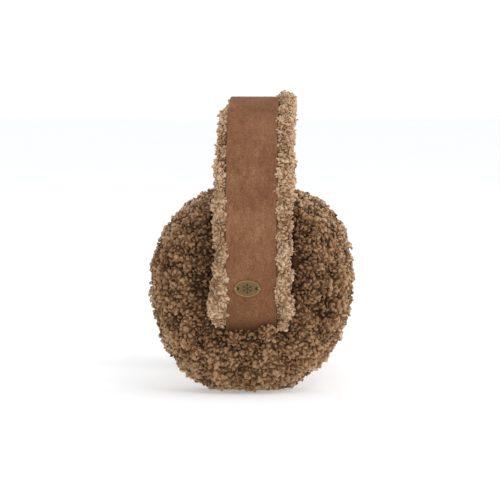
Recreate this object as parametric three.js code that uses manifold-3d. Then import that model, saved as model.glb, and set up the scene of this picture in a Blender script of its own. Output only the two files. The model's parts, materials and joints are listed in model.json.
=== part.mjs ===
// Fur earmuffs: two round sheepskin ear pads joined by a sprung headband. The headband is a woolly
// sheath with a smooth suede strap sewn along its outer side, and its two ends are tucked into slots
// in the outer faces of the pads. A small oval brass plate is stitched to the strap near one end.
//
// Units are millimetres. X is the ear axis, from ear to ear. Y runs from the wearer's face (-Y) to the
// back of the head (+Y). Z is up, and the pads stand on the plane z = 0.
import * as THREE from "three";
import { mergeVertices } from "three/addons/utils/BufferGeometryUtils.js";
import Module from "manifold-3d";

const wasm = await Module();
wasm.setup();

// ---- Driving dimensions ----

const GAP = 0.3; // air between neighbouring pieces
const CROWN_HEIGHT = 185; // top of the band's floor, on which the strap is sewn
const ARCH_RADIUS = 79; // of that floor, over the crown
const ARCH_CENTRE_Z = CROWN_HEIGHT - ARCH_RADIUS;

const BAND_SHIFT = 0.3; // of the band towards the back of the head, off the pads' middle
const STRAP_WIDTH = 32;
const STRAP_THICKNESS = 2;
const ROLL_STEPS = 6; // round half an edge roll, an even number
const BAND_STEPS = 64; // along the band, from one tucked end to the other
const FLOOR_LIP = 0.8; // how far inside the strap's edge the floor turns down beside the roll

const PAD_HALF_WIDTH = 65.6;
const PAD_CENTRE_Z = 69.7;
const PAD_RISE = 57.5; // from that centre to the pad's top
const PAD_DROP = 73.5; // and down, to just under the ground, so that each pad stands on a flat
const FULLNESS_ABOVE = 2.4; // exponent of the outline over its centre: 2 is an ellipse, more is squarer
const FULLNESS_BELOW = 2.1;
const PAD_SEAM_X = 52; // where the outer cover meets the ear side
const PAD_SEGMENTS = 48; // round each pad
const EAR_SEAT_X = 47; // floor of the hollow for the ear
const EAR_FACE_X = 36; // the ring that rests against the head

const BADGE = {
  width: 15.8,
  height: 10.2,
  thickness: 0.9,
  z: 69.2, // of its middle
  sideways: -2.4, // of its middle, off the strap's own
  holeRadius: 0.8,
  holeInset: 2.1, // from the oval's end to the hole's middle
};

// The leg of the band's floor below the crown's arc, from the arc down to the tucked end.
const LEG_ROWS = [
  { x: 79.2, z: 94 },
  { x: 79.4, z: 80 },
  { x: 79.2, z: 69 },
  { x: 78.4, z: 58 },
  { x: 76.4, z: 48.5 },
  { x: 73.0, z: 41.5 },
];

// The woolly sheath from the crown (at = 0) to the tucked end (at = 1). depth is the wool towards the
// head. rise is how high each edge's roll stands over the floor, waist the height of its widest place,
// and width its size across. rear is the +Y edge and front the -Y edge.
const SHEATH_ROWS = [
  {
    at: 0, depth: 12.5,
    rearRise: 4.6, rearWaist: -1.5, rearWidth: 10.6,
    frontRise: -2.6, frontWaist: -6, frontWidth: 5.4,
  },
  {
    at: 0.25, depth: 12.5,
    rearRise: 4.2, rearWaist: -1.5, rearWidth: 10.4,
    frontRise: -0.5, frontWaist: -4.5, frontWidth: 6.2,
  },
  {
    at: 0.5, depth: 12,
    rearRise: 4, rearWaist: -1.2, rearWidth: 10.2,
    frontRise: 2, frontWaist: -2.5, frontWidth: 7.6,
  },
  {
    at: 0.7, depth: 9,
    rearRise: 4.4, rearWaist: -1, rearWidth: 10.4,
    frontRise: 3.8, frontWaist: -1.5, frontWidth: 8.8,
  },
  {
    at: 0.9, depth: 6.5,
    rearRise: 4.6, rearWaist: -0.8, rearWidth: 10,
    frontRise: 4.8, frontWaist: -1, frontWidth: 11,
  },
  {
    at: 1, depth: 4,
    rearRise: 2.6, rearWaist: -0.6, rearWidth: 6.5,
    frontRise: 2.6, frontWaist: -0.6, frontWidth: 8,
  },
];

// Half sections of a pad: a distance x along the ear axis, and how far out the pad reaches there as a
// share of its outline.
const COVER_ROWS = [
  { x: PAD_SEAM_X + GAP / 2, reach: 0 },
  { x: PAD_SEAM_X + GAP / 2, reach: 0.87 },
  { x: 53.8, reach: 0.9 },
  { x: 58, reach: 0.925 },
  { x: 63, reach: 0.915 },
  { x: 68.5, reach: 0.865 },
  { x: 73, reach: 0.775 },
  { x: 75.8, reach: 0.66 },
  { x: 76.6, reach: 0.53 },
  { x: 75.8, reach: 0.38 },
  { x: 74, reach: 0.2 },
  { x: 73.4, reach: 0 },
];
const EAR_SIDE_ROWS = [
  { x: EAR_SEAT_X, reach: 0 },
  { x: EAR_SEAT_X, reach: 0.4 },
  { x: 44.5, reach: 0.44 },
  { x: 40, reach: 0.49 },
  { x: 37.2, reach: 0.56 },
  { x: EAR_FACE_X, reach: 0.66 },
  { x: EAR_FACE_X + 0.6, reach: 0.8 },
  { x: 38.6, reach: 0.91 },
  { x: 41.8, reach: 0.975 },
  { x: 45, reach: 1 },
  { x: 48, reach: 0.995 },
  { x: 50.4, reach: 0.95 },
  { x: PAD_SEAM_X - GAP / 2, reach: 0.885 },
  { x: PAD_SEAM_X - GAP / 2, reach: 0 },
];

// ---- Solids ----

// A geometry as a solid that can be cut and joined.
function toSolid(geometry) {
  const bare = geometry.index ? geometry.toNonIndexed() : geometry.clone();
  for (const name of Object.keys(bare.attributes)) if (name !== "position") bare.deleteAttribute(name);
  const merged = mergeVertices(bare, 1e-4);
  const faces = [];
  for (let k = 0; k < merged.index.count; k += 3) {
    const face = [0, 1, 2].map((corner) => merged.index.getX(k + corner));
    if (new Set(face).size === 3) faces.push(...face); // a face at a pole has shrunk to a line
  }
  return new wasm.Manifold(
    new wasm.Mesh({
      numProp: 3,
      vertProperties: merged.attributes.position.array,
      triVerts: new Uint32Array(faces),
    }),
  );
}

function toGeometry(solid) {
  const mesh = solid.getMesh();
  return new THREE.BufferGeometry()
    .setAttribute("position", new THREE.BufferAttribute(Float32Array.from(mesh.vertProperties), 3))
    .setIndex(new THREE.BufferAttribute(Uint32Array.from(mesh.triVerts), 1));
}

// A closed skin over rings of equally many points. The outlines are its two ends, drawn flat, and run
// anticlockwise as seen from beyond the last ring.
function loft(rings, outlines) {
  const size = rings[0].length;
  const faces = [];
  for (let ring = 0; ring + 1 < rings.length; ring++) {
    for (let k = 0; k < size; k++) {
      const here = ring * size + k;
      const next = ring * size + ((k + 1) % size);
      faces.push(here, next, here + size, next, next + size, here + size);
    }
  }
  const last = (rings.length - 1) * size;
  for (const [a, b, c] of THREE.ShapeUtils.triangulateShape(outlines[0], [])) {
    faces.push(a, c, b);
  }
  for (const [a, b, c] of THREE.ShapeUtils.triangulateShape(outlines[1], [])) {
    faces.push(last + a, last + b, last + c);
  }
  return new THREE.BufferGeometry().setFromPoints(rings.flat()).setIndex(faces);
}

// ---- The band's line ----

// The band's floor from one tucked end over the crown to the other, as stations with a place and the
// direction out, away from the head. at is 0 at the crown and 1 at either end.
function bandStations(count) {
  const arc = [];
  for (let degrees = 82.5; degrees >= 7.5; degrees -= 15) {
    const angle = THREE.MathUtils.degToRad(degrees);
    const [x, z] = [ARCH_RADIUS * Math.cos(angle), ARCH_CENTRE_Z + ARCH_RADIUS * Math.sin(angle)];
    arc.push(new THREE.Vector3(x, 0, z));
  }
  const half = [...arc, ...LEG_ROWS.map(({ x, z }) => new THREE.Vector3(x, 0, z))];
  const mirrored = half.map(({ x, z }) => new THREE.Vector3(-x, 0, z)).reverse();
  const curve = new THREE.CatmullRomCurve3([...mirrored, new THREE.Vector3(0, 0, CROWN_HEIGHT), ...half]);
  curve.arcLengthDivisions = 2000;
  const stations = [];
  for (let k = 0; k <= count; k++) {
    const t = k / count;
    const tangent = curve.getTangentAt(t);
    stations.push({
      at: Math.abs(2 * t - 1),
      right: t > 0.5,
      place: curve.getPointAt(t),
      out: new THREE.Vector3(-tangent.z, 0, tangent.x),
    });
  }
  return stations;
}

// A point of a band section: y across the band, n out from its floor.
function onBand(station, y, n) {
  return station.place.clone().addScaledVector(station.out, n).setY(y + BAND_SHIFT);
}

// The same stations with one more past each end.
function reachOn(stations, distance) {
  const [first, last] = [stations[0], stations.at(-1)];
  const beyond = (station, way) => {
    const along = new THREE.Vector3(station.out.z, 0, -station.out.x);
    return { ...station, place: station.place.clone().addScaledVector(along, way * distance) };
  };
  return [beyond(first, -1), ...stations, beyond(last, 1)];
}

const mix = (a, b, share) => a + (b - a) * share;

// The row of SHEATH_ROWS at a place along the band, eased between the two rows next to it.
function sheathAt(at) {
  const upper = Math.max(1, SHEATH_ROWS.findIndex((row) => row.at >= at - 1e-9));
  const [low, high] = [SHEATH_ROWS[upper - 1], SHEATH_ROWS[upper]];
  const share = THREE.MathUtils.smoothstep(at, low.at, high.at);
  return Object.fromEntries(Object.keys(low).map((key) => [key, mix(low[key], high[key], share)]));
}

// The sheath's outline across the band: its floor under the strap, a roll at each edge and the wool
// towards the head. grow makes it larger all round and spans the floor, as a slot for the band.
function sheathOutline(row, grow = 0) {
  const edge = STRAP_WIDTH / 2 + GAP;
  const depth = row.depth + grow;
  const steps = ROLL_STEPS;
  const rollPoints = (side, rise, waist, width) => {
    const points = [];
    for (let k = grow ? steps / 2 : 0; k <= steps; k++) {
      const angle = Math.PI * (1 - k / steps);
      const across = edge + (width / 2) * (1 + Math.cos(angle));
      points.push([side * across, waist + Math.sin(angle) * (rise - waist)]);
    }
    for (let k = 1; k <= steps; k++) {
      const angle = (Math.PI / 2) * (k / steps);
      points.push([side * (edge + width * Math.cos(angle)), waist - Math.sin(angle) * (depth + waist)]);
    }
    return points;
  };
  const rear = rollPoints(1, row.rearRise + grow, row.rearWaist, row.rearWidth + grow);
  const front = rollPoints(-1, row.frontRise + grow, row.frontWaist, row.frontWidth + grow);
  const floor = [[FLOOR_LIP - edge, 0], [edge - FLOOR_LIP, 0]];
  const outline = grow ? [...rear, ...front.reverse()] : [...floor, ...rear, ...front.reverse()];
  return outline.map(([y, n]) => new THREE.Vector2(y, n)).reverse();
}

function sheath(stations, grow = 0) {
  const outlines = stations.map(({ at }) => sheathOutline(sheathAt(at), grow));
  const rings = stations.map((station, k) => outlines[k].map(({ x, y }) => onBand(station, x, y)));
  return loft(rings, [outlines[0], outlines.at(-1)]);
}

function strap(stations) {
  const outline = [
    [-STRAP_WIDTH / 2, GAP],
    [STRAP_WIDTH / 2, GAP],
    [STRAP_WIDTH / 2, GAP + STRAP_THICKNESS * 0.7],
    [STRAP_WIDTH / 2 - 0.6, GAP + STRAP_THICKNESS],
    [0.6 - STRAP_WIDTH / 2, GAP + STRAP_THICKNESS],
    [-STRAP_WIDTH / 2, GAP + STRAP_THICKNESS * 0.7],
  ].map(([y, n]) => new THREE.Vector2(y, n));
  const rings = stations.map((station) => outline.map(({ x, y }) => onBand(station, x, y)));
  return loft(rings, [outline, outline]);
}

// ---- The pads ----

// A pad's body from its half section, about the ear axis. side is 1 for the right ear, -1 for the left.
function padBody(rows, side) {
  const profile = rows.map(({ x, reach }) => new THREE.Vector2(reach, x));
  const body = new THREE.LatheGeometry(profile, PAD_SEGMENTS);
  body.rotateZ(-side * Math.PI / 2); // the lathe turns about Y, and the pad about X
  const places = body.attributes.position;
  for (let k = 0; k < places.count; k++) {
    const [y, z] = [places.getY(k), places.getZ(k)];
    const reach = Math.hypot(y, z) || 1;
    const [height, fullness] = z > 0 ? [PAD_RISE, FULLNESS_ABOVE] : [PAD_DROP, FULLNESS_BELOW];
    const power = (share) => Math.abs(share / reach) ** fullness;
    const swell = (power(y) + power(z)) ** (-1 / fullness);
    places.setXYZ(k, places.getX(k), y * swell * PAD_HALF_WIDTH, PAD_CENTRE_Z + z * swell * height);
  }
  return toSolid(body);
}

// Everything above the ground.
function aboveGround() {
  const size = 300;
  return toSolid(new THREE.BoxGeometry(size, size, size).translate(0, 0, size / 2));
}

function badge() {
  const oval = new THREE.Shape().absellipse(0, 0, BADGE.width / 2, BADGE.height / 2, 0, 2 * Math.PI);
  for (const side of [-1, 1]) {
    const x = side * (BADGE.width / 2 - BADGE.holeInset);
    oval.holes.push(new THREE.Path().absarc(x, 0, BADGE.holeRadius, 0, 2 * Math.PI));
  }
  const settings = { depth: BADGE.thickness, bevelEnabled: false, curveSegments: 24 };
  return new THREE.ExtrudeGeometry(oval, settings);
}

// ---- The assembly ----

const suede = new THREE.MeshStandardMaterial({ color: "#88603f", roughness: 0.95, metalness: 0 });
const trimWool = new THREE.MeshStandardMaterial({ color: "#96785a", roughness: 1, metalness: 0 });
const padWool = new THREE.MeshStandardMaterial({ color: "#6e5139", roughness: 1, metalness: 0 });
const brass = new THREE.MeshStandardMaterial({ color: "#7d6a3c", roughness: 0.45, metalness: 1 });

const earmuffs = new THREE.Group();

function addPiece(name, geometry, material) {
  const piece = new THREE.Mesh(geometry, material);
  piece.name = name;
  earmuffs.add(piece);
  return piece;
}

const stations = bandStations(BAND_STEPS);
addPiece("headband_strap", strap(stations), suede);
addPiece("headband_sheath", sheath(stations), trimWool);

const slot = toSolid(sheath(reachOn(stations, 2 * GAP), GAP));
const upper = aboveGround();
for (const [name, side] of [["right", 1], ["left", -1]]) {
  const cover = padBody(COVER_ROWS, side).intersect(upper).subtract(slot);
  const earSide = padBody(EAR_SIDE_ROWS, side).intersect(upper);
  addPiece(`ear_pad_cover_${name}`, toGeometry(cover), padWool.clone());
  addPiece(`ear_pad_ear_side_${name}`, toGeometry(earSide), padWool.clone());
}

// The plate lies on the strap of the right leg, its face turned out from the wearer's head.
const badgeMiss = ({ place }) => Math.abs(place.z - BADGE.z);
const rightLeg = bandStations(BAND_STEPS * 8).filter(({ right }) => right);
const under = rightLeg.reduce((best, next) => (badgeMiss(next) < badgeMiss(best) ? next : best));
const plate = addPiece("badge_plate", badge(), brass);
plate.position.copy(onBand(under, BADGE.sideways, GAP + STRAP_THICKNESS + GAP));
const across = new THREE.Vector3(0, 1, 0);
plate.setRotationFromMatrix(
  new THREE.Matrix4().makeBasis(across, new THREE.Vector3().crossVectors(under.out, across), under.out),
);

export default earmuffs;
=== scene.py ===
"""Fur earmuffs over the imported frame: curled wool, a suede strap, a brass plate, studio and camera.

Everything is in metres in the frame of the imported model: X along the ear axis, Y towards the back of
the head, Z up. Each new piece has its object at the origin, with its place in its mesh.
"""
import json
import logging
import math
from collections.abc import Callable, Iterator, Sequence
from contextlib import contextmanager
from dataclasses import dataclass, field
from enum import Enum
from functools import partial

import bpy
from mathutils import Matrix, Vector
from mathutils.bvhtree import BVHTree

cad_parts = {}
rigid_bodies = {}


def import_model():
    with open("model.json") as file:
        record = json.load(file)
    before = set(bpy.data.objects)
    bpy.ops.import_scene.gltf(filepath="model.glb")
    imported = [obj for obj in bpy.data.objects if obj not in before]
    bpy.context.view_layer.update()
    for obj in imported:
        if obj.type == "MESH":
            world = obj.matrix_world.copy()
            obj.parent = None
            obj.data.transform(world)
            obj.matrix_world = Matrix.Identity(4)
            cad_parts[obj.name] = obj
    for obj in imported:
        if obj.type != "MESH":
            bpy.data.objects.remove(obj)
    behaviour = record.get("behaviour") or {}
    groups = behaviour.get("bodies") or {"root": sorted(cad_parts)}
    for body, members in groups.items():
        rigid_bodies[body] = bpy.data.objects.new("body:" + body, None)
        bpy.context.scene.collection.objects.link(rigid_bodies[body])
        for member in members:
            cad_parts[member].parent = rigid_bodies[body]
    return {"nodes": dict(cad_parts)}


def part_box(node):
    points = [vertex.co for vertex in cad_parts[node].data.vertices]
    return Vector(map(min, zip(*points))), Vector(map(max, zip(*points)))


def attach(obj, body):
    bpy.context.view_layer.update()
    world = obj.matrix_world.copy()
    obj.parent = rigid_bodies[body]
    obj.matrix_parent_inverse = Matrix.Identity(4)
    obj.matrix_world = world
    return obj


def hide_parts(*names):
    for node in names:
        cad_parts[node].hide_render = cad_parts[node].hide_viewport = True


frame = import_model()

LOG = logging.getLogger("earmuffs")
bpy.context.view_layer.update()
BODY = "root"
MM = 0.001

PRESSURE = 4.0  # what blows the padded bodies up
CLOTH_FRAMES = 20
MOUND_RANGE = (-0.35, 0.3)  # painted shade: how low a clump's wool is darkest and how high it is palest, in clump heights
SPREAD_TOP = 45 * MM  # a standing pad's weight spreads it below this height,
SLUMP_RANGE = (10 * MM, 68 * MM)  # sets it towards the face, less and less between these,
SAG_TOP = 11 * MM  # and lets its underside down below this one
BAND_SHADE_RANGE = (2 * MM, 19 * MM)  # painted shade: how far from the band the pads' wool is darkest and palest
BAND_SHADE_SHARE = 0.25  # how pale the painted shade leaves the wool right beside the band, as a share

Region = Callable[[Vector], bool]  # whether a point is in it
Puff = Callable[[Vector], float]  # how much of something a point has
Piece = bpy.types.Object
Settings = dict[str, object]
Values = dict[str | int, object]


# ---- Shader maths ----


@dataclass(frozen=True)
class Wire:
    """A socket that Python expressions work on: each operator adds the Math node that it needs."""

    shader: "Shader"
    socket: bpy.types.NodeSocket

    def _math(self, operation: str, first: object, second: object, clamp: bool = False) -> "Wire":
        """Adds a Math node for two Wires or numbers, its result kept between 0 and 1 if clamped."""
        settings = {"operation": operation, "use_clamp": clamp}
        return self.shader.add("ShaderNodeMath", settings, {0: first, 1: second})

    def __add__(self, other: object) -> "Wire":
        """The sum."""
        return self._math("ADD", self, other)

    __radd__ = __add__

    def __sub__(self, other: object) -> "Wire":
        """The difference."""
        return self._math("SUBTRACT", self, other)

    def __rsub__(self, other: object) -> "Wire":
        """The difference, the other way round."""
        return self._math("SUBTRACT", other, self)

    def __mul__(self, other: object) -> "Wire":
        """The product."""
        return self._math("MULTIPLY", self, other)

    def clamped(self) -> "Wire":
        """The value kept between 0 and 1."""
        return self._math("ADD", self, 0.0, clamp=True)


def varied(level: Wire | float, *noises: tuple[Wire, float]) -> Wire:
    """Adds noises to a level.

    Args:
        level: the level.
        noises: each noise, which is around 0.5, and how strong it is.

    Returns:
        The uneven level.
    """
    for noise, strength in noises:
        level = level + (noise - 0.5) * strength
    return level


def add_node(tree: bpy.types.NodeTree, kind: str, settings: Settings, values: Values) -> bpy.types.Node:
    """Adds a node: its settings are set first, and then its sockets.

    Args:
        tree: the tree that it is for.
        kind: the node's type.
        settings: its properties.
        values: a number, colour or socket for each of its input sockets.

    Returns:
        The node.
    """
    node = tree.nodes.new(kind)
    for key, value in settings.items():
        setattr(node, key, value)
    for key, value in values.items():
        if isinstance(value, bpy.types.NodeSocket):
            tree.links.new(value, node.inputs[key])
        else:
            node.inputs[key].default_value = value
    return node


class Shader:
    """A material under construction, with its Principled shader."""

    def __init__(self, name: str, **constants: object) -> None:
        """Starts the material.

        Args:
            name: the material's name.
            constants: values of the Principled shader's own sockets, with _ for a space.
        """
        self.material = bpy.data.materials.new(name)
        self.material.use_nodes = True
        self.tree = self.material.node_tree
        self.principled = self.tree.nodes["Principled BSDF"]
        for key, value in constants.items():
            self.principled.inputs[key.replace("_", " ")].default_value = value

    def add(self, kind: str, settings: Settings, values: Values,
            output: str | int = 0) -> Wire:
        """Adds a node.

        Args:
            kind: the node's type.
            settings: its properties.
            values: a number, colour or Wire for each of its input sockets.
            output: which of its outputs is wanted.

        Returns:
            The output.
        """
        sockets = {key: value.socket if isinstance(value, Wire) else value for key, value in values.items()}
        return Wire(self, add_node(self.tree, kind, settings, sockets).outputs[output])

    def feed(self, socket: str, wire: Wire) -> None:
        """Links a Wire to one of the Principled shader's sockets."""
        self.tree.links.new(wire.socket, self.principled.inputs[socket])

    def place(self) -> Wire:
        """Object coordinates, which are the frame's own metres."""
        return self.add("ShaderNodeTexCoord", {}, {}, "Object")

    def attribute(self, name: str) -> Wire:
        """A number stored on the mesh."""
        return self.add("ShaderNodeAttribute", {"attribute_name": name}, {}, "Fac")

    def noise(self, size: float, detail: float = 2.0, roughness: float = 0.5,
              squash: Vector | None = None) -> Wire:
        """Noise whose blotches have a given size.

        Args:
            size: the size of a blotch, in metres.
            detail: the number of finer layers.
            roughness: how strong those are.
            squash: how much finer the noise is along each axis.

        Returns:
            The noise, around 0.5.
        """
        where = self.place()
        if squash is not None:
            where = self.add("ShaderNodeMapping", {}, {"Vector": where, "Scale": squash})
        values = {"Vector": where, "Scale": 1 / size, "Detail": detail, "Roughness": roughness}
        return self.add("ShaderNodeTexNoise", {}, values, "Fac")

    def ramp(self, level: Wire, stops: Sequence[tuple[float, tuple]]) -> Wire:
        """Colours a level.

        Args:
            level: the level, from 0 to 1.
            stops: the position and colour of each stop.

        Returns:
            The colour.
        """
        colours = self.add("ShaderNodeValToRGB", {}, {"Fac": level.clamped()}, "Color")
        elements = colours.socket.node.color_ramp.elements
        while len(elements) < len(stops):
            elements.new(1.0)
        for element, (position, colour) in zip(elements, stops):
            element.position = position
            element.color = colour
        return colours

    def mix(self, share: Wire, first: object, second: object) -> Wire:
        """Mixes two colours or Wires by how much of the second shows."""
        return self.add("ShaderNodeMix", {"data_type": "RGBA"}, {0: share, 6: first, 7: second}, 2)

    def bump(self, height: Wire, distance: float, strength: float = 1.0, under: Wire | None = None) -> Wire:
        """Adds a Bump node.

        Args:
            height: what it reads.
            distance: how high a height of 1 stands, in metres.
            strength: how much of it shows.
            under: another bump's normal to start from.

        Returns:
            The normal.
        """
        values = {"Height": height, "Distance": distance, "Strength": strength}
        if under is not None:
            values["Normal"] = under
        return self.add("ShaderNodeBump", {}, values)


def srgb(red: float, green: float, blue: float) -> tuple[float, float, float, float]:
    """A colour as a shader reads it, from its 0 to 255 screen values.

    Args:
        red: the red value.
        green: the green value.
        blue: the blue value.

    Returns:
        The linear colour with an alpha of 1.
    """
    def linear(value: float) -> float:
        """One channel."""
        share = value / 255
        return share / 12.92 if share <= 0.04045 else ((share + 0.055) / 1.055) ** 2.4

    return (linear(red), linear(green), linear(blue), 1.0)


# ---- Finishes ----


@dataclass(frozen=True)
class WoolFinish:
    """Curled wool: dark at the roots and lighter on the curls' backs, partly its own colour and partly
    painted shade, with a soft sheen.
    """

    name: str
    root: tuple
    middle: tuple
    tip: tuple
    mottle: float
    sheen: float
    softness: float

    def material(self) -> bpy.types.Material:
        """Makes the material, which reads each curl's height and tone, and the painted shade and light stored
        for its place.

        Returns:
            The material.
        """
        shader = Shader(self.name, Roughness=0.92, Specular_IOR_Level=0.12, Sheen_Weight=self.sheen,
                        Sheen_Roughness=0.45, Sheen_Tint=self.tip, Subsurface_Weight=self.softness,
                        Subsurface_Radius=(1.0, 0.9, 0.8), Subsurface_Scale=0.8 * MM)
        height, mound, tone = (shader.attribute(name) for name in ("rise", "mound", "tone"))
        patches = shader.noise(14 * MM, 3.0, 0.6)
        fibres = shader.noise(0.7 * MM, 3.0, 0.65)
        # the colour's level: curls darker towards the roots, partly painted shade, and the painted shade and
        # light stored for their place, varied by tone, patches and fibres
        level = varied(height * 0.5 + mound * 0.5, (tone, self.mottle), (patches, 0.6), (fibres, 0.4))
        stops = [(0.05, self.root), (0.5, self.middle), (0.95, self.tip)]
        shader.feed("Base Color", shader.ramp(level, stops))
        coarse = shader.bump(shader.noise(1.6 * MM, 2.0, 0.6), 0.7 * MM, 0.7)
        shader.feed("Normal", shader.bump(fibres, 0.3 * MM, 0.8, coarse))
        return shader.material


@dataclass(frozen=True)
class SuedeFinish:
    """Fine napped suede, brushed unevenly, with painted shade on its ends where they tuck in under the wool.
    """

    name: str = "napped_suede"
    shadow: tuple = srgb(84, 52, 33)
    deep: tuple = srgb(104, 67, 44)
    even: tuple = srgb(134, 92, 65)
    brushed: tuple = srgb(162, 118, 88)

    def material(self) -> bpy.types.Material:
        """Makes the material: brushed blotches, a fine nap, a painted highlight along the edges and painted
        shade on the tucked ends.

        Returns:
            The material.
        """
        shader = Shader(self.name, Roughness=0.94, Specular_IOR_Level=0.15, Sheen_Weight=0.15,
                        Sheen_Roughness=0.4, Sheen_Tint=srgb(200, 160, 130))
        blotches = shader.noise(19 * MM, 3.0, 0.55)
        strokes = shader.noise(4.5 * MM, 3.0, 0.6, Vector((1, 1.5, 0.7)))
        nap = shader.noise(1.2 * MM, 3.0, 0.7)
        fine = shader.noise(0.45 * MM, 2.0, 0.6)
        level = varied(0.5, (blotches, 0.9), (strokes, 0.75), (nap, 1.35), (fine, 1.0))
        colour = shader.ramp(level, [(0.0, self.deep), (0.5, self.even), (1.0, self.brushed)])
        # painted shade: the strap darkens towards its ends, where they tuck in under the wool
        colour = shader.mix(shader.attribute("tucked") * 0.9, colour, self.shadow)
        # painted highlight: both of the strap's edges are mixed towards the brushed colour
        shader.feed("Base Color", shader.mix(shader.attribute("edge") * 0.35, colour, self.brushed))
        soft = shader.bump(blotches + strokes * 0.3, 1.5 * MM, 0.5)
        shader.feed("Normal", shader.bump(nap * 0.6 + fine * 0.4, 0.12 * MM, 0.9, soft))
        return shader.material


@dataclass(frozen=True)
class BrassFinish:
    """Antiqued brass: rubbed bright where it stands proud and dull in the field."""

    name: str = "antique_brass"
    dull: tuple = srgb(116, 97, 66)
    bright: tuple = srgb(158, 130, 80)

    def material(self) -> bpy.types.Material:
        """Makes the material, which reads how proud each point stands.

        Returns:
            The material.
        """
        shader = Shader(self.name, Metallic=0.9)
        stains = shader.noise(2.2 * MM, 3.0, 0.65)
        scratches = shader.noise(1.2 * MM, 2.0, 0.6, Vector((1, 0.2, 3)))
        level = (varied(shader.attribute("proud") * 0.9, (stains, 0.5)) + 0.05).clamped()
        shader.feed("Base Color", shader.mix(level, self.dull, self.bright))
        shader.feed("Roughness", varied(0.55 - level * 0.22, (stains, 0.2)))
        shader.feed("Normal", shader.bump(scratches, 0.05 * MM, 0.6))
        return shader.material


@dataclass(frozen=True)
class ThreadFinish:
    """Waxed sewing thread, twisted."""

    name: str = "sewing_thread"
    shade: tuple = srgb(150, 104, 66)
    light: tuple = srgb(196, 148, 100)

    def material(self) -> bpy.types.Material:
        """Makes the material, banded by the thread's twist.

        Returns:
            The material.
        """
        shader = Shader(self.name, Roughness=0.7, Sheen_Weight=0.3)
        settings = {"wave_type": "BANDS", "bands_direction": "DIAGONAL"}
        values = {"Vector": shader.place(), "Scale": 900.0, "Distortion": 0.5}
        twist = shader.add("ShaderNodeTexWave", settings, values, "Fac")
        shader.feed("Base Color", shader.mix(twist, self.shade, self.light))
        shader.feed("Normal", shader.bump(twist, 0.08 * MM, 0.8))
        return shader.material


@dataclass(frozen=True)
class PatinaAndHoleShadeFinish:
    """The dark patina in the plate's engraved lines, and the painted shade on the holes' floors."""

    name: str = "dark_patina"
    dark: tuple = srgb(34, 28, 20)
    worn: tuple = srgb(64, 54, 38)

    def material(self) -> bpy.types.Material:
        """Makes the material.

        Returns:
            The material.
        """
        shader = Shader(self.name, Roughness=0.7, Metallic=0.3)
        shader.feed("Base Color", shader.mix(shader.noise(0.9 * MM, 2.0, 0.6), self.dark, self.worn))
        return shader.material


class Finish(Enum):
    """The finishes by name, each made once."""

    PAD_WOOL = WoolFinish("dark_curls", srgb(56, 37, 24), srgb(140, 104, 73), srgb(178, 143, 108),
                          mottle=0.24, sheen=0.3, softness=0.45)
    EAR_WOOL = WoolFinish("ear_curls", srgb(110, 80, 56), srgb(182, 148, 115), srgb(216, 186, 154),
                          mottle=0.2, sheen=0.4, softness=0.5)
    TRIM_WOOL = WoolFinish("pale_curls", srgb(138, 100, 69), srgb(199, 164, 129), srgb(216, 188, 157),
                           mottle=0.2, sheen=0.15, softness=0.45)
    SUEDE = SuedeFinish()
    BRASS = BrassFinish()
    THREAD = ThreadFinish()
    PATINA = PatinaAndHoleShadeFinish()

    def material(self) -> bpy.types.Material:
        """The finish's material, made the first time it is asked for."""
        return bpy.data.materials.get(self.value.name) or self.value.material()


# ---- Meshes ----


def deselect() -> None:
    """Leaves nothing selected."""
    if bpy.context.object and bpy.context.object.mode != "OBJECT":
        bpy.ops.object.mode_set(mode="OBJECT")
    bpy.ops.object.select_all(action="DESELECT")


def activate(piece: Piece) -> None:
    """Selects one object and makes it active.

    Args:
        piece: the object.
    """
    deselect()
    piece.select_set(True)
    bpy.context.view_layer.objects.active = piece


@contextmanager
def editing(piece: Piece) -> Iterator[None]:
    """Edit mode on one piece with its whole mesh selected, left again at the end.

    Args:
        piece: the piece.
    """
    activate(piece)
    bpy.ops.object.mode_set(mode="EDIT")
    bpy.ops.mesh.select_all(action="SELECT")
    yield
    bpy.ops.object.mode_set(mode="OBJECT")


def face_outwards() -> None:
    """Turns every face of the mesh under edit outwards."""
    bpy.ops.mesh.select_all(action="SELECT")
    bpy.ops.mesh.normals_make_consistent(inside=False)


def added(name: str) -> Piece:
    """Names the object that was just added, and moves its place into its mesh.

    Args:
        name: its name.

    Returns:
        The object.
    """
    piece = bpy.context.object
    piece.name = piece.data.name = name
    bpy.ops.object.transform_apply(location=True, rotation=True, scale=True)
    return piece


def finish_modifiers(piece: Piece) -> None:
    """Applies every modifier of a piece, in their order.

    Args:
        piece: the piece.
    """
    activate(piece)
    for modifier in list(piece.modifiers):
        bpy.ops.object.modifier_apply(modifier=modifier.name)


def add_modifier(piece: Piece, kind: str, **settings: object) -> bpy.types.Modifier:
    """Adds a modifier.

    Args:
        piece: the piece.
        kind: the modifier's type.
        settings: its properties.

    Returns:
        The modifier.
    """
    modifier = piece.modifiers.new(kind.lower(), kind)
    for key, value in settings.items():
        setattr(modifier, key, value)
    return modifier


def roughen(piece: Piece, pattern: str, size: float, strength: float, middle: float) -> None:
    """Makes a surface uneven, with a procedural texture, and shades it smooth.

    Args:
        piece: the piece. The modifiers that it has are applied first.
        pattern: the texture's type.
        size: the size of a lump, in metres.
        strength: how far the surface moves.
        middle: the texture's value that leaves it in place.
    """
    texture = bpy.data.textures.new(pattern.lower(), pattern)
    texture.noise_scale = size
    add_modifier(piece, "DISPLACE", strength=strength, mid_level=middle, texture=texture)
    finish_modifiers(piece)
    bpy.data.textures.remove(texture)
    bpy.ops.object.shade_smooth()


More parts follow.
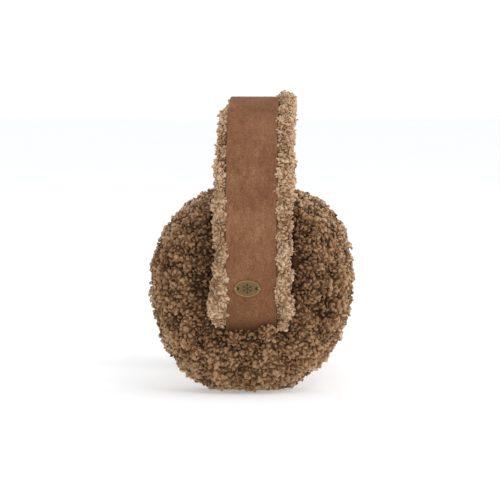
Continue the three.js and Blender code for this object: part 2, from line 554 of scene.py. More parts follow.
def copy_of_node(node: str, name: str) -> Piece:
    """A copy of a CAD node as a new piece, its loose triangles merged into one skin.

    Args:
        node: the node's name.
        name: the new piece's name.

    Returns:
        The new piece.
    """
    mesh = frame["nodes"][node].data.copy()
    mesh.name = name
    mesh.materials.clear()
    piece = bpy.data.objects.new(name, mesh)
    bpy.context.scene.collection.objects.link(piece)
    with editing(piece):
        bpy.ops.mesh.remove_doubles(threshold=0.02 * MM)
        bpy.ops.mesh.tris_convert_to_quads()
    return piece


def tree_of_node(node: str) -> BVHTree:
    """The surface of a CAD node, for finding how near a point is to it.

    Args:
        node: the node's name.

    Returns:
        The searchable surface.
    """
    mesh = frame["nodes"][node].data
    corners = [vertex.co for vertex in mesh.vertices]
    return BVHTree.FromPolygons(corners, [tuple(face.vertices) for face in mesh.polygons])


def smoothstep(value: float, low: float, high: float) -> float:
    """Eases a value from 0 at low to 1 at high."""
    share = min(max((value - low) / (high - low), 0.0), 1.0)
    return share * share * (3 - 2 * share)


def plateau(value: float, rise: tuple[float, float], fall: tuple[float, float]) -> float:
    """1 between two ranges, easing up over the first and down over the second."""
    return smoothstep(value, *rise) * (1 - smoothstep(value, *fall))


def store(mesh: bpy.types.Mesh, name: str, values: Sequence[float]) -> None:
    """Stores a number on each vertex, as an attribute of a name."""
    layer = mesh.attributes.get(name) or mesh.attributes.new(name, "FLOAT", "POINT")
    layer.data.foreach_set("value", values)


def settle(piece: Piece, finish: Finish, replaces: Sequence[str] = ()) -> None:
    """Dresses a finished piece and fixes it to the model.

    Args:
        piece: the piece.
        finish: its finish.
        replaces: the CAD nodes that it stands for.
    """
    piece.data.materials.clear()
    piece.data.materials.append(finish.material())
    if replaces:
        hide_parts(*replaces)
    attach(piece, BODY)
    LOG.info("%s: %d faces", piece.name, len(piece.data.polygons))


# ---- Curls ----


@dataclass(frozen=True)
class Curl:
    """One small lock of wool: a bent, tapered strand that rises, leans over and curls back."""

    leans: tuple[float, ...]  # how far it leans over at each step, in degrees
    swings: tuple[float, ...]  # how far it swings round its root at each step, in degrees
    girths: tuple[float, ...]  # its thickness after each step, as a share of that before
    step: float  # the length of a step, as a share of the root's radius

    def build(self, name: str, radius: float, sides: int) -> Piece:
        """Models the lock with its root at the origin, growing up along Z.

        Args:
            name: the object's name.
            radius: the root's radius.
            sides: the number of sides.

        Returns:
            The lock.
        """
        deselect()
        middle, ahead = Vector((0, 0, -0.8 * radius)), Vector((0, 0, 1))
        bpy.ops.mesh.primitive_circle_add(vertices=sides, radius=0.8 * radius, fill_type="NGON",
                                          location=middle)
        lock = added(name)
        with editing(lock):
            for lean, swing, girth in zip(self.leans, self.swings, self.girths):
                turns = ((math.radians(lean), "Y"), (math.radians(swing), "Z"))
                for angle, axis in turns:
                    ahead = Matrix.Rotation(angle, 3, axis) @ ahead
                shift = ahead * self.step * radius
                middle = middle + shift
                bpy.ops.mesh.extrude_region_move(TRANSFORM_OT_translate={"value": shift})
                for angle, axis in turns:
                    bpy.ops.transform.rotate(value=-angle, orient_axis=axis, center_override=middle)
                bpy.ops.transform.resize(value=(girth, girth, girth), center_override=middle)
            face_outwards()
        bpy.ops.object.shade_smooth()
        heights = [vertex.co.z for vertex in lock.data.vertices]
        top = max(heights)
        # darker towards the root: partly the wool's own darker roots and partly painted shade
        store(lock.data, "rise", [min(max(height / top, 0.0), 1.0) for height in heights])
        return lock


class CurlSet(Enum):
    """The shapes of curl that a wool is made of."""

    TIGHT = (
        Curl((10, 50, 56, 48), (0, 5, 15, 20), (1.3, 1.08, 0.95, 0.62), 1.12),
        Curl((18, 46, 50, 42), (0, 30, 35, 35), (1.28, 1.08, 0.94, 0.6), 1.12),
        Curl((0, 54, 58, 52), (0, -20, -30, -25), (1.3, 1.08, 0.94, 0.64), 1.1),
        Curl((22, 38, 34, 26), (0, 45, 50, 30), (1.26, 1.1, 0.92, 0.58), 1.15),
        Curl((5, 40, 58, 58), (0, 50, 50, 45), (1.3, 1.08, 0.94, 0.62), 1.12),
        Curl((-10, 48, 60, 50), (0, -40, -40, -35), (1.28, 1.1, 0.95, 0.64), 1.12),
        Curl((2, 14, 22, 28), (0, 50, 70, 60), (1.3, 1.1, 0.9, 0.55), 0.95),
        Curl((0, 30, 52, 58), (0, 75, 75, 60), (1.34, 1.08, 0.92, 0.6), 1.1),
    )
    TUFTS = (
        Curl((12, 34, 40), (0, 20, 30), (1.0, 0.85, 0.4), 1.5),
        Curl((25, 26, 18), (0, -20, -30), (1.05, 0.85, 0.4), 1.6),
        Curl((5, 45, 50), (0, 40, 40), (1.1, 0.9, 0.5), 1.4),
        Curl((30, 10, -30), (0, 10, 20), (1.0, 0.8, 0.35), 1.7),
        Curl((-10, 40, 40), (0, -45, -30), (1.05, 0.9, 0.45), 1.5),
        Curl((8, 18, 26), (0, 30, 60), (0.9, 0.75, 0.3), 1.9),
    )

    def models(self, radius: float, sides: int) -> bpy.types.Collection:
        """Models the set's curls, kept out of the scene.

        Args:
            radius: a curl's radius at its root.
            sides: the number of its sides.

        Returns:
            A collection of them.
        """
        shelf = bpy.data.collections.new(f"curls_{self.name.lower()}")
        for number, curl in enumerate(self.value):
            lock = curl.build(f"curl_{self.name.lower()}_{number}", radius, sides)
            for holder in list(lock.users_collection):
                holder.objects.unlink(lock)
            shelf.objects.link(lock)
        return shelf


@dataclass(frozen=True)
class Growth:
    """How curls stand on a surface. Lengths are in metres."""

    curls: CurlSet
    radius: float  # of a curl at its root
    spacing: float
    smallest: float  # the least size that chance gives a curl, as a share,
    largest: float  # and the most
    sides: int = 4
    lean: float = 24.0  # how far a curl may lean, in degrees
    edge_size: float = 0.6  # how large curls are where they stop, as a share,
    hollow_size: float = 0.75  # and in the hollows between clumps
    floor: float = 0.2 * MM  # how low a curl may reach

    def grow(self, base: Piece, name: str, pile: str, seed: int) -> Piece:
        """Grows curls where the base has pile, as one joined mesh.

        Args:
            base: the surface that they stand on.
            name: the new piece's name.
            pile: the attribute that says where they stand, from 0 to 1.
            seed: the seed of their places, sizes and turns.

        Returns:
            The curls.
        """
        shelf = self.curls.models(self.radius, self.sides)
        wool = base.copy()
        wool.data = base.data.copy()
        wool.name = wool.data.name = name
        bpy.context.scene.collection.objects.link(wool)
        group = self.nodes(shelf, pile, seed)
        add_modifier(wool, "NODES", node_group=group)
        finish_modifiers(wool)
        bpy.data.node_groups.remove(group)
        for lock in list(shelf.objects):
            bpy.data.objects.remove(lock)
        bpy.data.collections.remove(shelf)
        return wool

    def nodes(self, shelf: bpy.types.Collection, pile: str, seed: int) -> bpy.types.NodeTree:
        """The node group that scatters the shelf's curls and joins them.

        Args:
            shelf: the curls to choose from.
            pile: the attribute that says where they stand.
            seed: the seed of every random choice.

        Returns:
            The node group.
        """
        tree = bpy.data.node_groups.new("grow_curls", "GeometryNodeTree")
        for way in ("INPUT", "OUTPUT"):
            tree.interface.new_socket("Geometry", in_out=way, socket_type="NodeSocketGeometry")
        add = partial(add_node, tree)

        def chance(kind: str, low: object, high: object, number: int) -> bpy.types.NodeSocket:
            """A random value.

            Args:
                kind: its type.
                low: the lowest.
                high: the highest.
                number: what makes its seed its own.

            Returns:
                The value's socket.
            """
            first = {"FLOAT_VECTOR": 0, "FLOAT": 2, "INT": 4}[kind]
            values = {first: low, first + 1: high, "Seed": seed * 10 + number}
            node = add("FunctionNodeRandomValue", {"data_type": kind}, values)
            return node.outputs[first // 2]

        source = add("NodeGroupInput", {}, {}).outputs[0]
        weight = add("GeometryNodeInputNamedAttribute", {"data_type": "FLOAT"}, {"Name": pile}).outputs[0]
        points = add("GeometryNodeDistributePointsOnFaces", {"distribute_method": "POISSON"},
                     {"Mesh": source, "Distance Min": self.spacing, "Density Max": 4 / self.spacing ** 2,
                      "Density Factor": weight, "Seed": seed})
        shapes = add("GeometryNodeCollectionInfo", {"transform_space": "ORIGINAL"},
                     {"Collection": shelf, "Separate Children": True, "Reset Children": True})
        lean = math.radians(self.lean)
        turn = chance("FLOAT_VECTOR", (-lean, -lean, 0), (lean, lean, 2 * math.pi), 1)
        euler = add("FunctionNodeEulerToRotation", {}, {"Euler": turn}).outputs[0]
        facing = add("FunctionNodeRotateRotation", {"rotation_space": "LOCAL"},
                     {"Rotation": points.outputs["Rotation"], "Rotate By": euler}).outputs[0]
        mound = add("GeometryNodeInputNamedAttribute", {"data_type": "FLOAT"}, {"Name": "mound"}).outputs[0]
        size = chance("FLOAT", self.smallest, self.largest, 2)
        for where, least in ((weight, self.edge_size), (mound, self.hollow_size)):
            share = add("ShaderNodeMapRange", {}, {"Value": where, "To Min": least}).outputs[0]
            size = add("ShaderNodeMath", {"operation": "MULTIPLY"}, {0: size, 1: share}).outputs[0]
        placed = add("GeometryNodeInstanceOnPoints", {},
                     {"Points": points.outputs["Points"], "Instance": shapes.outputs[0],
                      "Pick Instance": True, "Instance Index": chance("INT", 0, len(shelf.objects) - 1, 3),
                      "Rotation": facing, "Scale": size})
        toned = add("GeometryNodeStoreNamedAttribute", {"data_type": "FLOAT", "domain": "INSTANCE"},
                    {"Geometry": placed.outputs[0], "Name": "tone", "Value": chance("FLOAT", 0.0, 1.0, 4)})
        joined = add("GeometryNodeRealizeInstances", {}, {"Geometry": toned.outputs[0]})
        place = add("GeometryNodeInputPosition", {}, {}).outputs[0]
        across, along, height = add("ShaderNodeSeparateXYZ", {}, {0: place}).outputs
        height = add("ShaderNodeMath", {"operation": "MAXIMUM"}, {0: height, 1: self.floor}).outputs[0]
        place = add("ShaderNodeCombineXYZ", {}, {0: across, 1: along, 2: height}).outputs[0]
        stood = add("GeometryNodeSetPosition", {}, {"Geometry": joined.outputs[0], "Position": place})
        add("NodeGroupOutput", {}, {0: stood.outputs[0]})
        return tree


# ---- Padded wool pieces ----


@dataclass
class Fleece:
    """A padded wool piece: a stuffed body in the place of its CAD solid, with curls grown on it."""

    node: str
    slot: str
    finish: Finish
    regions: dict[str, tuple[Region, Growth]]  # where each set of curls stands, and how
    neighbours: dict[str, float]  # how far off each neighbour its curls reach their full size
    seed: int
    voxel: float = 4.0 * MM
    inset: float = 0.6 * MM  # how much smaller than its solid the body starts,
    swell: float = 1.2 * MM  # and how far it may be blown up
    clump: float = 7.5 * MM
    clump_height: float = 4.6 * MM
    sight: float = 1.5 * MM  # curls don't grow where they would face a neighbour this close
    sag: float = 1.8 * MM
    spread: float = 0.03  # how much broader it is on the floor, as a share
    slump: float = 2.4 * MM  # how far its weight has settled towards the face
    puff: Puff = lambda place: 0.0
    band_shade: str = ""  # the node beside which the wool lies flatter and darker, in painted shade
    glow: Puff = lambda place: 0.0  # how much paler the wool is, from 0 to 1
    depth: float = 0.1  # how far up its curls' colours the body's own colour is
    fill: float = 0.7
    floor: float = 0.2 * MM
    core: Callable[[str], Piece] | None = None  # makes the body's rough shape, if not the node
    stem: str = ""  # what its pieces are called after, if not the node

    def build(self) -> None:
        """Makes the body and its curls."""
        self.stem = self.stem or self.node
        body = self.body()
        for number, (region, (holds, growth)) in enumerate(self.regions.items()):
            self.mark(body, region, holds)
            curls = growth.grow(body, f"{self.stem}_{region}", region, self.seed + 7 * number)
            settle(curls, self.finish, [self.node])
        settle(body, self.finish, [self.node])

    def body(self) -> Piece:
        """The stuffed body: the CAD solid shrunk, blown up like a cushion and dimpled between its clumps.

        Returns:
            The body.
        """
        name = f"{self.stem}_body"
        body = self.core(name) if self.core else copy_of_node(self.node, name)
        add_modifier(body, "REMESH", mode="VOXEL", voxel_size=self.voxel)
        add_modifier(body, "DISPLACE", strength=-self.inset, mid_level=0.0)
        add_modifier(body, "SMOOTH", factor=0.5, iterations=3)
        finish_modifiers(body)
        self.inflate(body)
        add_modifier(body, "SUBSURF", levels=1, render_levels=1)
        finish_modifiers(body)
        smooth = []
        for place, normal in [(vertex.co.copy(), vertex.normal.copy()) for vertex in body.data.vertices]:
            smooth.append((place + normal * self.puff(place), normal))
        body.data.vertices.foreach_set("co", [number for place, _ in smooth for number in place])
        roughen(body, "VORONOI", self.clump, -self.clump_height, 0.4)
        shade_and_light_levels = []
        for vertex, (start, normal) in zip(body.data.vertices, smooth):
            # painted shade: the lower a point lies in the hollow between clumps, the darker its wool
            shade_and_light_levels.append(smoothstep((vertex.co - start).dot(normal) / self.clump_height, *MOUND_RANGE))
            vertex.co.y *= 1 + self.spread * (1 - smoothstep(vertex.co.z, 0.0, SPREAD_TOP))
            vertex.co.y -= self.slump * (1 - smoothstep(vertex.co.z, *SLUMP_RANGE))
            sunk = vertex.co.z - self.sag * (1 - smoothstep(vertex.co.z, 0.0, SAG_TOP))
            vertex.co.z = max(sunk, self.floor)
        shade_and_light_levels = [mound + self.glow(vertex.co) for mound, vertex in zip(shade_and_light_levels, body.data.vertices)]
        # painted shade: the wool close to the band is darker
        if self.band_shade:
            band = tree_of_node(self.band_shade)
            for number, vertex in enumerate(body.data.vertices):
                gap = band.find_nearest(vertex.co, BAND_SHADE_RANGE[1])[3]
                if gap is not None:
                    shade_and_light_levels[number] *= BAND_SHADE_SHARE + (1 - BAND_SHADE_SHARE) * smoothstep(gap, *BAND_SHADE_RANGE)
        store(body.data, "mound", shade_and_light_levels)
        # the body between the curls takes the dark root colour: partly painted shade
        store(body.data, "rise", [self.depth] * len(shade_and_light_levels))
        store(body.data, "tone", [0.5] * len(shade_and_light_levels))
        return body

    def inflate(self, body: Piece) -> None:
        """Blows the body up with a short cloth simulation, capping how far it moves.

        Args:
            body: the body.
        """
        before = [vertex.co.copy() for vertex in body.data.vertices]
        cloth = add_modifier(body, "CLOTH")
        cloth.settings.use_pressure = True
        cloth.settings.uniform_pressure_force = PRESSURE
        cloth.settings.effector_weights.gravity = 0.0
        scene = bpy.context.scene
        for number in range(CLOTH_FRAMES):
            scene.frame_set(number + 1)
        finish_modifiers(body)
        scene.frame_set(1)
        for vertex, start in zip(body.data.vertices, before):
            moved = vertex.co - start
            vertex.co = start + moved * min(1.0, self.swell / max(moved.length, 1e-9))

    def mark(self, body: Piece, region: str, holds: Region) -> None:
        """Stores where curls stand: not facing a near neighbour, and smaller close to one.

        Args:
            body: the body.
            region: the attribute's name.
            holds: whether a point is in the region.
        """
        near = [(tree_of_node(name), fade) for name, fade in self.neighbours.items()]
        weights = []
        for vertex in body.data.vertices:
            look = (vertex.co, vertex.normal, self.sight)
            weight = 0.0
            if holds(vertex.co) and all(tree.ray_cast(*look)[0] is None for tree, _ in near):
                gaps = [(tree.find_nearest(vertex.co, fade)[3], fade) for tree, fade in near]
                weight = min((smoothstep(gap, 0, fade) for gap, fade in gaps if gap is not None), default=1.0)
            weights.append(weight)
        store(body.data, region, weights)


def everywhere(_: Vector) -> bool:
    """A region that holds every point."""
    return True


@dataclass
class EarPad:
    """One round ear pad: its outer cover, the ear side against the head and a tuft over the strap's end."""

    side: str
    seed: int
    rim_start: float = 0.8  # how far out the ear side's rim starts, as a share
    lip_height: float = 2.8 * MM  # how far the cover's wool stands up round the strap's end,
    seam_depth: float = 2.4 * MM  # and how far it draws in to the seam
    lap_back: float = 10.2 * MM  # where the tuft is, behind the frame's middle,
    lap_height: float = 40.8 * MM  # and above the floor
    lap_half: Vector = field(default_factory=lambda: Vector((2.6, 5.2, 5.0)) * MM)
    lap_glow: float = 0.25  # how much paler its wool is than the cover's

    def build(self) -> None:
        """Makes both halves and the tuft."""
        cover, ear_side = f"ear_pad_cover_{self.side}", f"ear_pad_ear_side_{self.side}"
        low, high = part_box(ear_side)
        self.middle, self.half = (low + high) / 2, (high - low) / 2
        large = Growth(CurlSet.TIGHT, 1.04 * MM, 1.8 * MM, 0.6, 1.4)
        close = Growth(CurlSet.TIGHT, 1.0 * MM, 2.1 * MM, 0.65, 1.35)
        dense = Growth(CurlSet.TIGHT, 0.9 * MM, 1.6 * MM, 0.65, 1.35)
        tight = Growth(CurlSet.TIGHT, 0.95 * MM, 1.45 * MM, 0.6, 1.3)
        Fleece(cover, "pad_wool", Finish.PAD_WOOL, {"curls": (everywhere, large)},
               {"headband_sheath": 0.6 * MM, ear_side: 1.0 * MM}, self.seed, puff=self.lip, glow=self.ridge_light,
               band_shade="headband_sheath").build()
        Fleece(ear_side, "pad_wool", Finish.EAR_WOOL,
               {"curls_rim": (self.rim, dense), "curls": (self.inner, close)}, {cover: 1.0 * MM},
               self.seed + 3, clump_height=3.0 * MM, inset=0.2 * MM).build()
        Fleece(cover, "pad_wool", Finish.PAD_WOOL, {"curls": (everywhere, tight)},
               {"headband_strap": 0.5 * MM}, self.seed + 5, voxel=1.2 * MM, inset=0.1 * MM, swell=0.4 * MM,
               clump=4 * MM, clump_height=1.2 * MM, sight=0.6 * MM, slump=0.0, core=self.lap,
               glow=lambda _: self.lap_glow, stem=f"ear_pad_lap_{self.side}").build()

    def rim(self, place: Vector) -> bool:
        """Whether a point is on the rolled rim of the ear side."""
        out = place - self.middle
        return math.hypot(out.y / self.half.y, out.z / self.half.z) > self.rim_start

    def inner(self, place: Vector) -> bool:
        """Whether a point is on the ear side within its rim."""
        return not self.rim(place)

    def ridge_light(self, place: Vector) -> float:
        """How much painted light pales the cover's wool on the ridge beside the seam and low down.

        Args:
            place: a point of the cover.

        Returns:
            The share.
        """
        beside = 1 - smoothstep(abs(place.x), 60 * MM, 70 * MM)
        below = 1 - smoothstep(place.z, 20 * MM, 50 * MM)
        return 0.4 * beside + 0.35 * below

    def lap(self, name: str) -> Piece:
        """The rough shape of the tuft that laps over a corner of the strap's end.

        Args:
            name: its name.

        Returns:
            The shape.
        """
        way = 1 if self.side == "right" else -1
        middle = Vector((way, self.lap_back, self.lap_height))
        face = tree_of_node("headband_strap").ray_cast(middle, Vector((-way, 0, 0)))[0]
        deselect()
        bpy.ops.mesh.primitive_uv_sphere_add(segments=24, ring_count=16, radius=1, location=(0, 0, 0))
        core = added(name)
        with editing(core):
            bpy.ops.transform.resize(value=self.lap_half, center_override=(0, 0, 0))
            bpy.ops.transform.translate(value=face + Vector((way * (self.lap_half.x + 0.7 * MM), 0, 0)))
        return core

    def lip(self, place: Vector) -> float:
        """How far the wool stands up round the strap's tucked end, and draws in to the seam.

        Args:
            place: a point of the cover.

        Returns:
            The height, in metres.
        """
        along = plateau(place.z, (30 * MM, 36 * MM), (38.5 * MM, 42 * MM))
        across = 1 - smoothstep(abs(place.y), 15 * MM, 24 * MM)
        outside = smoothstep(abs(place.x), 70 * MM, 74 * MM)
        seam = 1 - smoothstep(abs(place.x), 54 * MM, 68 * MM)
        return self.lip_height * along * across * outside - self.seam_depth * seam


@dataclass
class Headband:
    """The sprung band: its woolly sheath and the suede strap sewn along it."""

    shift: float = 0.3 * MM  # how far behind the frame's middle its own is
    half_strap: float = 16.0 * MM
    worn: float = 1.3 * MM  # how broad the painted highlights along the strap's edges are
    rolls: tuple[float, float] = (15.5 * MM, 18 * MM)  # how far out the rolls start and are full
    puff: float = 2.4 * MM  # how far the rolls stand out above the pads,
    sink: float = 2.2 * MM  # and the front one draws in at the crown
    seed: int = 41

    def build(self) -> None:
        """Makes the sheath and the strap."""
        self.sheath()
        self.strap()

    def sheath(self) -> None:
        """The sheath, its curls in three parts: the rear roll, the front roll and the lining."""
        knobs = Growth(CurlSet.TIGHT, 0.98 * MM, 1.42 * MM, 0.55, 1.35, lean=36.0)
        tufts = Growth(CurlSet.TUFTS, 0.5 * MM, 1.5 * MM, 0.8, 1.9, sides=3, lean=44.0)
        lining = Growth(CurlSet.TIGHT, 1.0 * MM, 2.1 * MM, 0.7, 1.3, lean=38.0)
        regions = {
            "curls_rear": (self.rear, knobs),
            "tufts_rear": (self.rear, tufts),
            "curls_front": (self.front, knobs),
            "tufts_front": (self.front, tufts),
            "curls_lining": (self.lining, lining),
        }
        near = {"ear_pad_cover_right": 1.0 * MM, "ear_pad_cover_left": 1.0 * MM,
                "headband_strap": 0.3 * MM}
        Fleece("headband_sheath", "trim_wool", Finish.TRIM_WOOL, regions, near, self.seed, voxel=3.6 * MM,
               inset=0.5 * MM, swell=0.8 * MM, clump=8 * MM, clump_height=3.8 * MM, sight=2.0 * MM, sag=0.0,
               spread=0.0, slump=0.0, puff=self.tuft, fill=0.5, depth=0.3).build()

    def rear(self, place: Vector) -> bool:
        """Whether a point is on the roll behind the strap."""
        return place.y - self.shift > self.rolls[0]

    def front(self, place: Vector) -> bool:
        """Whether a point is on the roll before the strap."""
        return place.y - self.shift < -self.rolls[0]

    def lining(self, place: Vector) -> bool:
        """Whether a point is between the rolls."""
        return not self.rear(place) and not self.front(place)

    def tuft(self, place: Vector) -> float:
        """How far the rolls puff up just above their tucked ends, and the front one sinks at the crown.

        Args:
            place: a point of the sheath.

        Returns:
            The height, in metres.
        """
        out = place.y - self.shift
        low = plateau(place.z, (43 * MM, 49 * MM), (58 * MM, 68 * MM)) * smoothstep(abs(out), *self.rolls)
        crown = smoothstep(place.z, 166 * MM, 180 * MM) * smoothstep(-out, *self.rolls)
        return self.puff * low - self.sink * crown

    def strap(self) -> None:
        """The suede strap: the CAD strap with softly turned edges and a barely uneven face."""
        strap = copy_of_node("headband_strap", "headband_strap_suede")
        add_modifier(strap, "BEVEL", width=0.4 * MM, segments=2, limit_method="ANGLE",
                     angle_limit=math.radians(20))
        add_modifier(strap, "SUBSURF", levels=1, render_levels=1)
        roughen(strap, "CLOUDS", 22 * MM, 0.5 * MM, 0.5)
        places = [vertex.co for vertex in strap.data.vertices]
        # where the painted edge highlight runs, just inside each edge
        edge = (self.half_strap - self.worn, self.half_strap)
        store(strap.data, "edge", [smoothstep(abs(place.y - self.shift), *edge) for place in places])
        shadows = ((90 * MM, 0.35), (54 * MM, 0.65))  # painted shade over the strap's tucked ends: how high each reaches, and how dark it is
        tucked = [sum(dark * (1 - smoothstep(place.z, 41 * MM, top)) for top, dark in shadows)
                  for place in places]
        store(strap.data, "tucked", tucked)
        settle(strap, Finish.SUEDE, ["headband_strap"])


@dataclass
class Badge:
    """The small oval plate: a raised rim, two sewing holes, an engraved snowflake and its thread."""

    thick: float = 0.9 * MM
    rim: float = 0.5 * MM  # how broad the raised rim is,
    dish: float = 0.28 * MM  # and how high
    bevel: float = 0.12 * MM
    hole: float = 0.92 * MM  # the holes' radius,
    inset: float = 2.1 * MM  # and how far in from the plate's ends they are
    arm: float = 3.5 * MM
    line: float = 0.36 * MM
    strand: float = 0.15 * MM  # the thread's radius

    def build(self) -> None:
        """Makes the plate, its snowflake and its stitches, on the CAD plate's own place."""
        low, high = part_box("badge_plate")
        self.middle = (low + high) / 2
        self.width, self.height = high.y - low.y, high.z - low.z
        self.reach = self.width / 2 - self.inset
        self.turn = self.lean()
        self.plate()
        self.snowflake()
        self.stitches()

    def lean(self) -> Matrix:
        """How the plate lies: its own X across the strap, Y up it and Z out of it.

        Returns:
            The turn.
        """
        mesh = frame["nodes"]["badge_plate"].data
        out = max(mesh.polygons, key=lambda face: face.area * (face.normal.x > 0.5)).normal.copy()
        across = Vector((0, 1, 0))
        up = out.cross(across)
        return Matrix((across, up, out)).transposed().to_4x4()

    def stand(self, piece: Piece, lift: float = 0.0) -> None:
        """Moves a piece modelled flat at the origin onto the strap, lifted off the plate's middle."""
        piece.data.transform(Matrix.Translation(self.middle) @ self.turn @ Matrix.Translation((0, 0, lift)))
        piece.data.update()

    def plate(self) -> None:
        """The plate, pressed from sheet with a raised rim."""
        deselect()
        bpy.ops.mesh.primitive_circle_add(vertices=64, radius=0.5, fill_type="NGON", location=(0, 0, 0))
        plate = added("badge_plate_brass")
        with editing(plate):
            bpy.ops.transform.resize(value=(self.width, self.height, 1), center_override=(0, 0, 0))
            bpy.ops.transform.translate(value=(0, 0, -self.thick / 2))
            bpy.ops.mesh.extrude_region_move(TRANSFORM_OT_translate={"value": (0, 0, self.thick)})
            bpy.ops.mesh.inset(thickness=self.rim)
            bpy.ops.mesh.inset(thickness=self.bevel, depth=-self.dish)
            bpy.ops.mesh.inset(thickness=0.8 * MM)
            face_outwards()
        for way in (-1, 1):
            deselect()
            bpy.ops.mesh.primitive_cylinder_add(vertices=20, radius=self.hole, depth=4 * self.thick,
                                                location=(way * self.reach, 0, 0))
            drill = added("drill")
            add_modifier(plate, "BOOLEAN", operation="DIFFERENCE", object=drill, solver="EXACT")
            finish_modifiers(plate)
            bpy.data.objects.remove(drill)
        add_modifier(plate, "BEVEL", width=self.bevel, segments=2, limit_method="ANGLE",
                     angle_limit=math.radians(25))
        finish_modifiers(plate)
        heights = [vertex.co.z for vertex in plate.data.vertices]
        top = max(heights)
        self.field = top - self.dish
        store(plate.data, "proud", [smoothstep(height, self.field, top - 0.02 * MM) for height in heights])
        bpy.ops.object.shade_smooth_by_angle(angle=math.radians(40))
        self.stand(plate)
        settle(plate, Finish.BRASS, ["badge_plate"])

    def snowflake(self) -> None:
        """A plain six-armed snowflake of fine lines in the plate's middle, and dark discs of painted shade on
        the holes' floors.
        """
        parts = []
        for number in range(6):
            along = Matrix.Rotation(math.radians(60 * number + 30), 4, "Z")
            parts.append(self.bar(along, 0.0, self.arm, 0.0))
            for bend in (-50, 50):
                parts.append(self.bar(along, self.arm * 0.55, self.arm * 0.36, math.radians(bend)))
        # dark discs on the holes' floors: painted shade
        for way in (-1, 1):
            deselect()
            bpy.ops.mesh.primitive_circle_add(vertices=16, radius=self.hole * 0.98, fill_type="NGON",
                                              location=(way * self.reach, 0, -self.thick / 2))
            plug = added("plug")
            add_modifier(plug, "SOLIDIFY", thickness=0.1 * MM, offset=0.0)
            finish_modifiers(plug)
            parts.append(plug)
        flake = join(parts, "badge_snowflake")
        self.stand(flake, self.field)
        settle(flake, Finish.PATINA)

    def bar(self, along: Matrix, start: float, length: float, bend: float) -> Piece:
        """One line of the snowflake.

        Args:
            along: the way that its arm points.
            start: how far out along the arm it starts.
            length: its length.
            bend: how far it turns off the arm.

        Returns:
            The line.
        """
        deselect()
        bpy.ops.mesh.primitive_cube_add(size=1, location=(0, 0, 0))
        bar = added("bar")
        with editing(bar):
            bpy.ops.mesh.bevel(offset=0.2, segments=1)
        shape = Matrix.Diagonal((length, self.line, self.line * 0.9, 1)) @ Matrix.Translation((0.5, 0, 0))
        bar.data.transform(along @ Matrix.Translation((start, 0, 0)) @ Matrix.Rotation(bend, 4, "Z") @ shape)
        return bar

    def stitches(self) -> None:
        """Three strands of thread through each hole and over the plate's end."""
        radius = (self.inset + 0.1 * MM) / 2
        low = Matrix.Diagonal((1, 1, 0.62, 1))
        for turn, end in ((math.pi, "front"), (0, "rear")):
            parts = []
            for number in (-1, 0, 1):
                deselect()
                bpy.ops.mesh.primitive_circle_add(vertices=8, radius=self.strand, fill_type="NGON",
                                                  location=(-radius, 0, 0))
                strand = added("strand")
                with editing(strand):
                    bpy.ops.mesh.spin(steps=10, angle=math.pi, center=(0, 0, 0), axis=(0, 1, 0))
                    bpy.ops.mesh.select_all(action="SELECT")
                    bpy.ops.mesh.remove_doubles(threshold=0.001 * MM)
                    face_outwards()
                if min(vertex.co.z for vertex in strand.data.vertices) < -radius / 2:
                    strand.data.transform(Matrix.Rotation(math.pi, 4, "X"))
                fan = Matrix.Rotation(math.radians(16 * number), 4, "Z")
                place = Matrix.Translation((self.reach + radius + 0.5 * MM, 0.27 * MM * number, -0.3 * MM))
                strand.data.transform(Matrix.Rotation(turn, 4, "Z") @ place @ fan @ low)
                parts.append(strand)
            thread = join(parts, f"badge_thread_{end}")
            bpy.ops.object.shade_smooth()
            self.stand(thread)
            settle(thread, Finish.THREAD)


def join(parts: Sequence[Piece], name: str) -> Piece:
    """Joins objects into one.

    Args:
        parts: the objects.
        name: the joined object's name.

    Returns:
        The joined object.
    """
    deselect()
    for part in parts:
        part.select_set(True)
    bpy.context.view_layer.objects.active = parts[0]
    bpy.ops.object.join()
    whole = bpy.context.object
    whole.name = whole.data.name = name
    return whole


# ---- Studio ----


@dataclass(frozen=True)
class Lamp:
    """A square soft light that faces the object."""

    name: str
    watts: float
    size: float
    place: tuple[float, float, float]

    def build(self) -> None:
        """Sets it up."""
        light = bpy.data.lights.new(self.name, "AREA")
        light.energy = self.watts
        light.size = self.size
        place = Vector(self.place)
        aim(self.name, light, place, place - Vector((0, 0, 0.08)))


def aim(name: str, data: bpy.types.ID, place: Vector, back: Vector) -> Piece:
    """Puts a light or a camera in its place.

    Args:
        name: its name.
        data: the light or camera.
        place: where it stands.
        back: the way that its back faces.

    Returns:
        The object that holds it.
    """
    holder = bpy.data.objects.new(name, data)
    holder.location = place
    holder.rotation_euler = back.to_track_quat("Z", "Y").to_euler()
    bpy.context.scene.collection.objects.link(holder)
    return holder


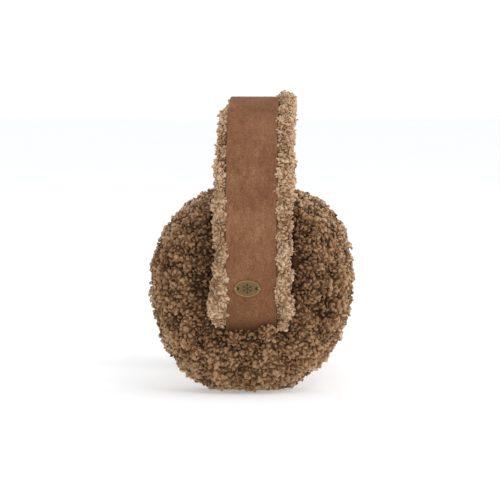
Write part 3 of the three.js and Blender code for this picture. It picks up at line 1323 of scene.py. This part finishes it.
@dataclass
class Studio:
    """A white floor, soft light and the camera."""

    surroundings: float = 0.75  # how brightly the white surroundings light the object,
    backdrop: float = 1.05  # and how bright they look
    lamps: tuple[Lamp, ...] = (
        Lamp("key", 3.4, 0.5, (0.9, 0.6, 1.3)),
        Lamp("side", 6.5, 0.8, (0.1, 1.5, 0.7)),
        Lamp("back", 1.4, 1.0, (-1.1, 0.1, 1.2)),
        Lamp("low", 1.1, 0.8, (1.5, 0.0, 0.12)),
    )
    azimuth: float = 91.75
    elevation: float = 5.4
    distance: float = 1.33
    lens: float = 144.4
    target: Vector = field(default_factory=lambda: Vector((0, -0.0029, 0.0856)))

    def build(self) -> None:
        """Sets up all of it."""
        self.floor()
        self.lights()
        self.camera()
        bpy.context.scene.view_settings.view_transform = "Standard"

    def floor(self) -> None:
        """A plain pale floor."""
        deselect()
        bpy.ops.mesh.primitive_plane_add(size=12, location=(0, 0, 0))
        floor = added("floor")
        shader = Shader("pale_floor", Roughness=0.9, Specular_IOR_Level=0.1, Emission_Strength=0.3,
                        Emission_Color=(1, 1, 1, 1))
        shade = shader.noise(0.5, 2.0)
        shader.feed("Base Color", shader.mix(shade, (0.88, 0.893, 0.91, 1), (0.91, 0.923, 0.94, 1)))
        floor.data.materials.append(shader.material)

    def lights(self) -> None:
        """White surroundings and the lamps."""
        world = bpy.data.worlds.new("studio")
        world.use_nodes = True
        tree = world.node_tree
        seen = add_node(tree, "ShaderNodeLightPath", {}, {}).outputs["Is Camera Ray"]
        values = {"Value": seen, "To Min": self.surroundings, "To Max": self.backdrop}
        strength = add_node(tree, "ShaderNodeMapRange", {}, values).outputs["Result"]
        tree.nodes["Background"].inputs["Color"].default_value = (1, 1, 1, 1)
        tree.links.new(strength, tree.nodes["Background"].inputs["Strength"])
        bpy.context.scene.world = world
        for lamp in self.lamps:
            lamp.build()

    def camera(self) -> None:
        """The camera, level with the pads and looking along the ear axis."""
        turn, rise = math.radians(self.azimuth), math.radians(self.elevation)
        back = Vector((math.sin(turn) * math.cos(rise), -math.cos(turn) * math.cos(rise), math.sin(rise)))
        camera = bpy.data.cameras.new("camera")
        camera.lens = self.lens
        camera.sensor_width = 36.0
        bpy.context.scene.camera = aim("camera", camera, self.target + back * self.distance, back)


def main() -> None:
    """Builds the earmuffs and their studio in order."""
    logging.basicConfig(level=logging.INFO, format="%(name)s: %(message)s")
    Studio().build()
    Headband().build()
    for side, seed in (("right", 11), ("left", 23)):
        EarPad(side, seed).build()
    Badge().build()
    deselect()


if __name__ == "__main__":
    main()
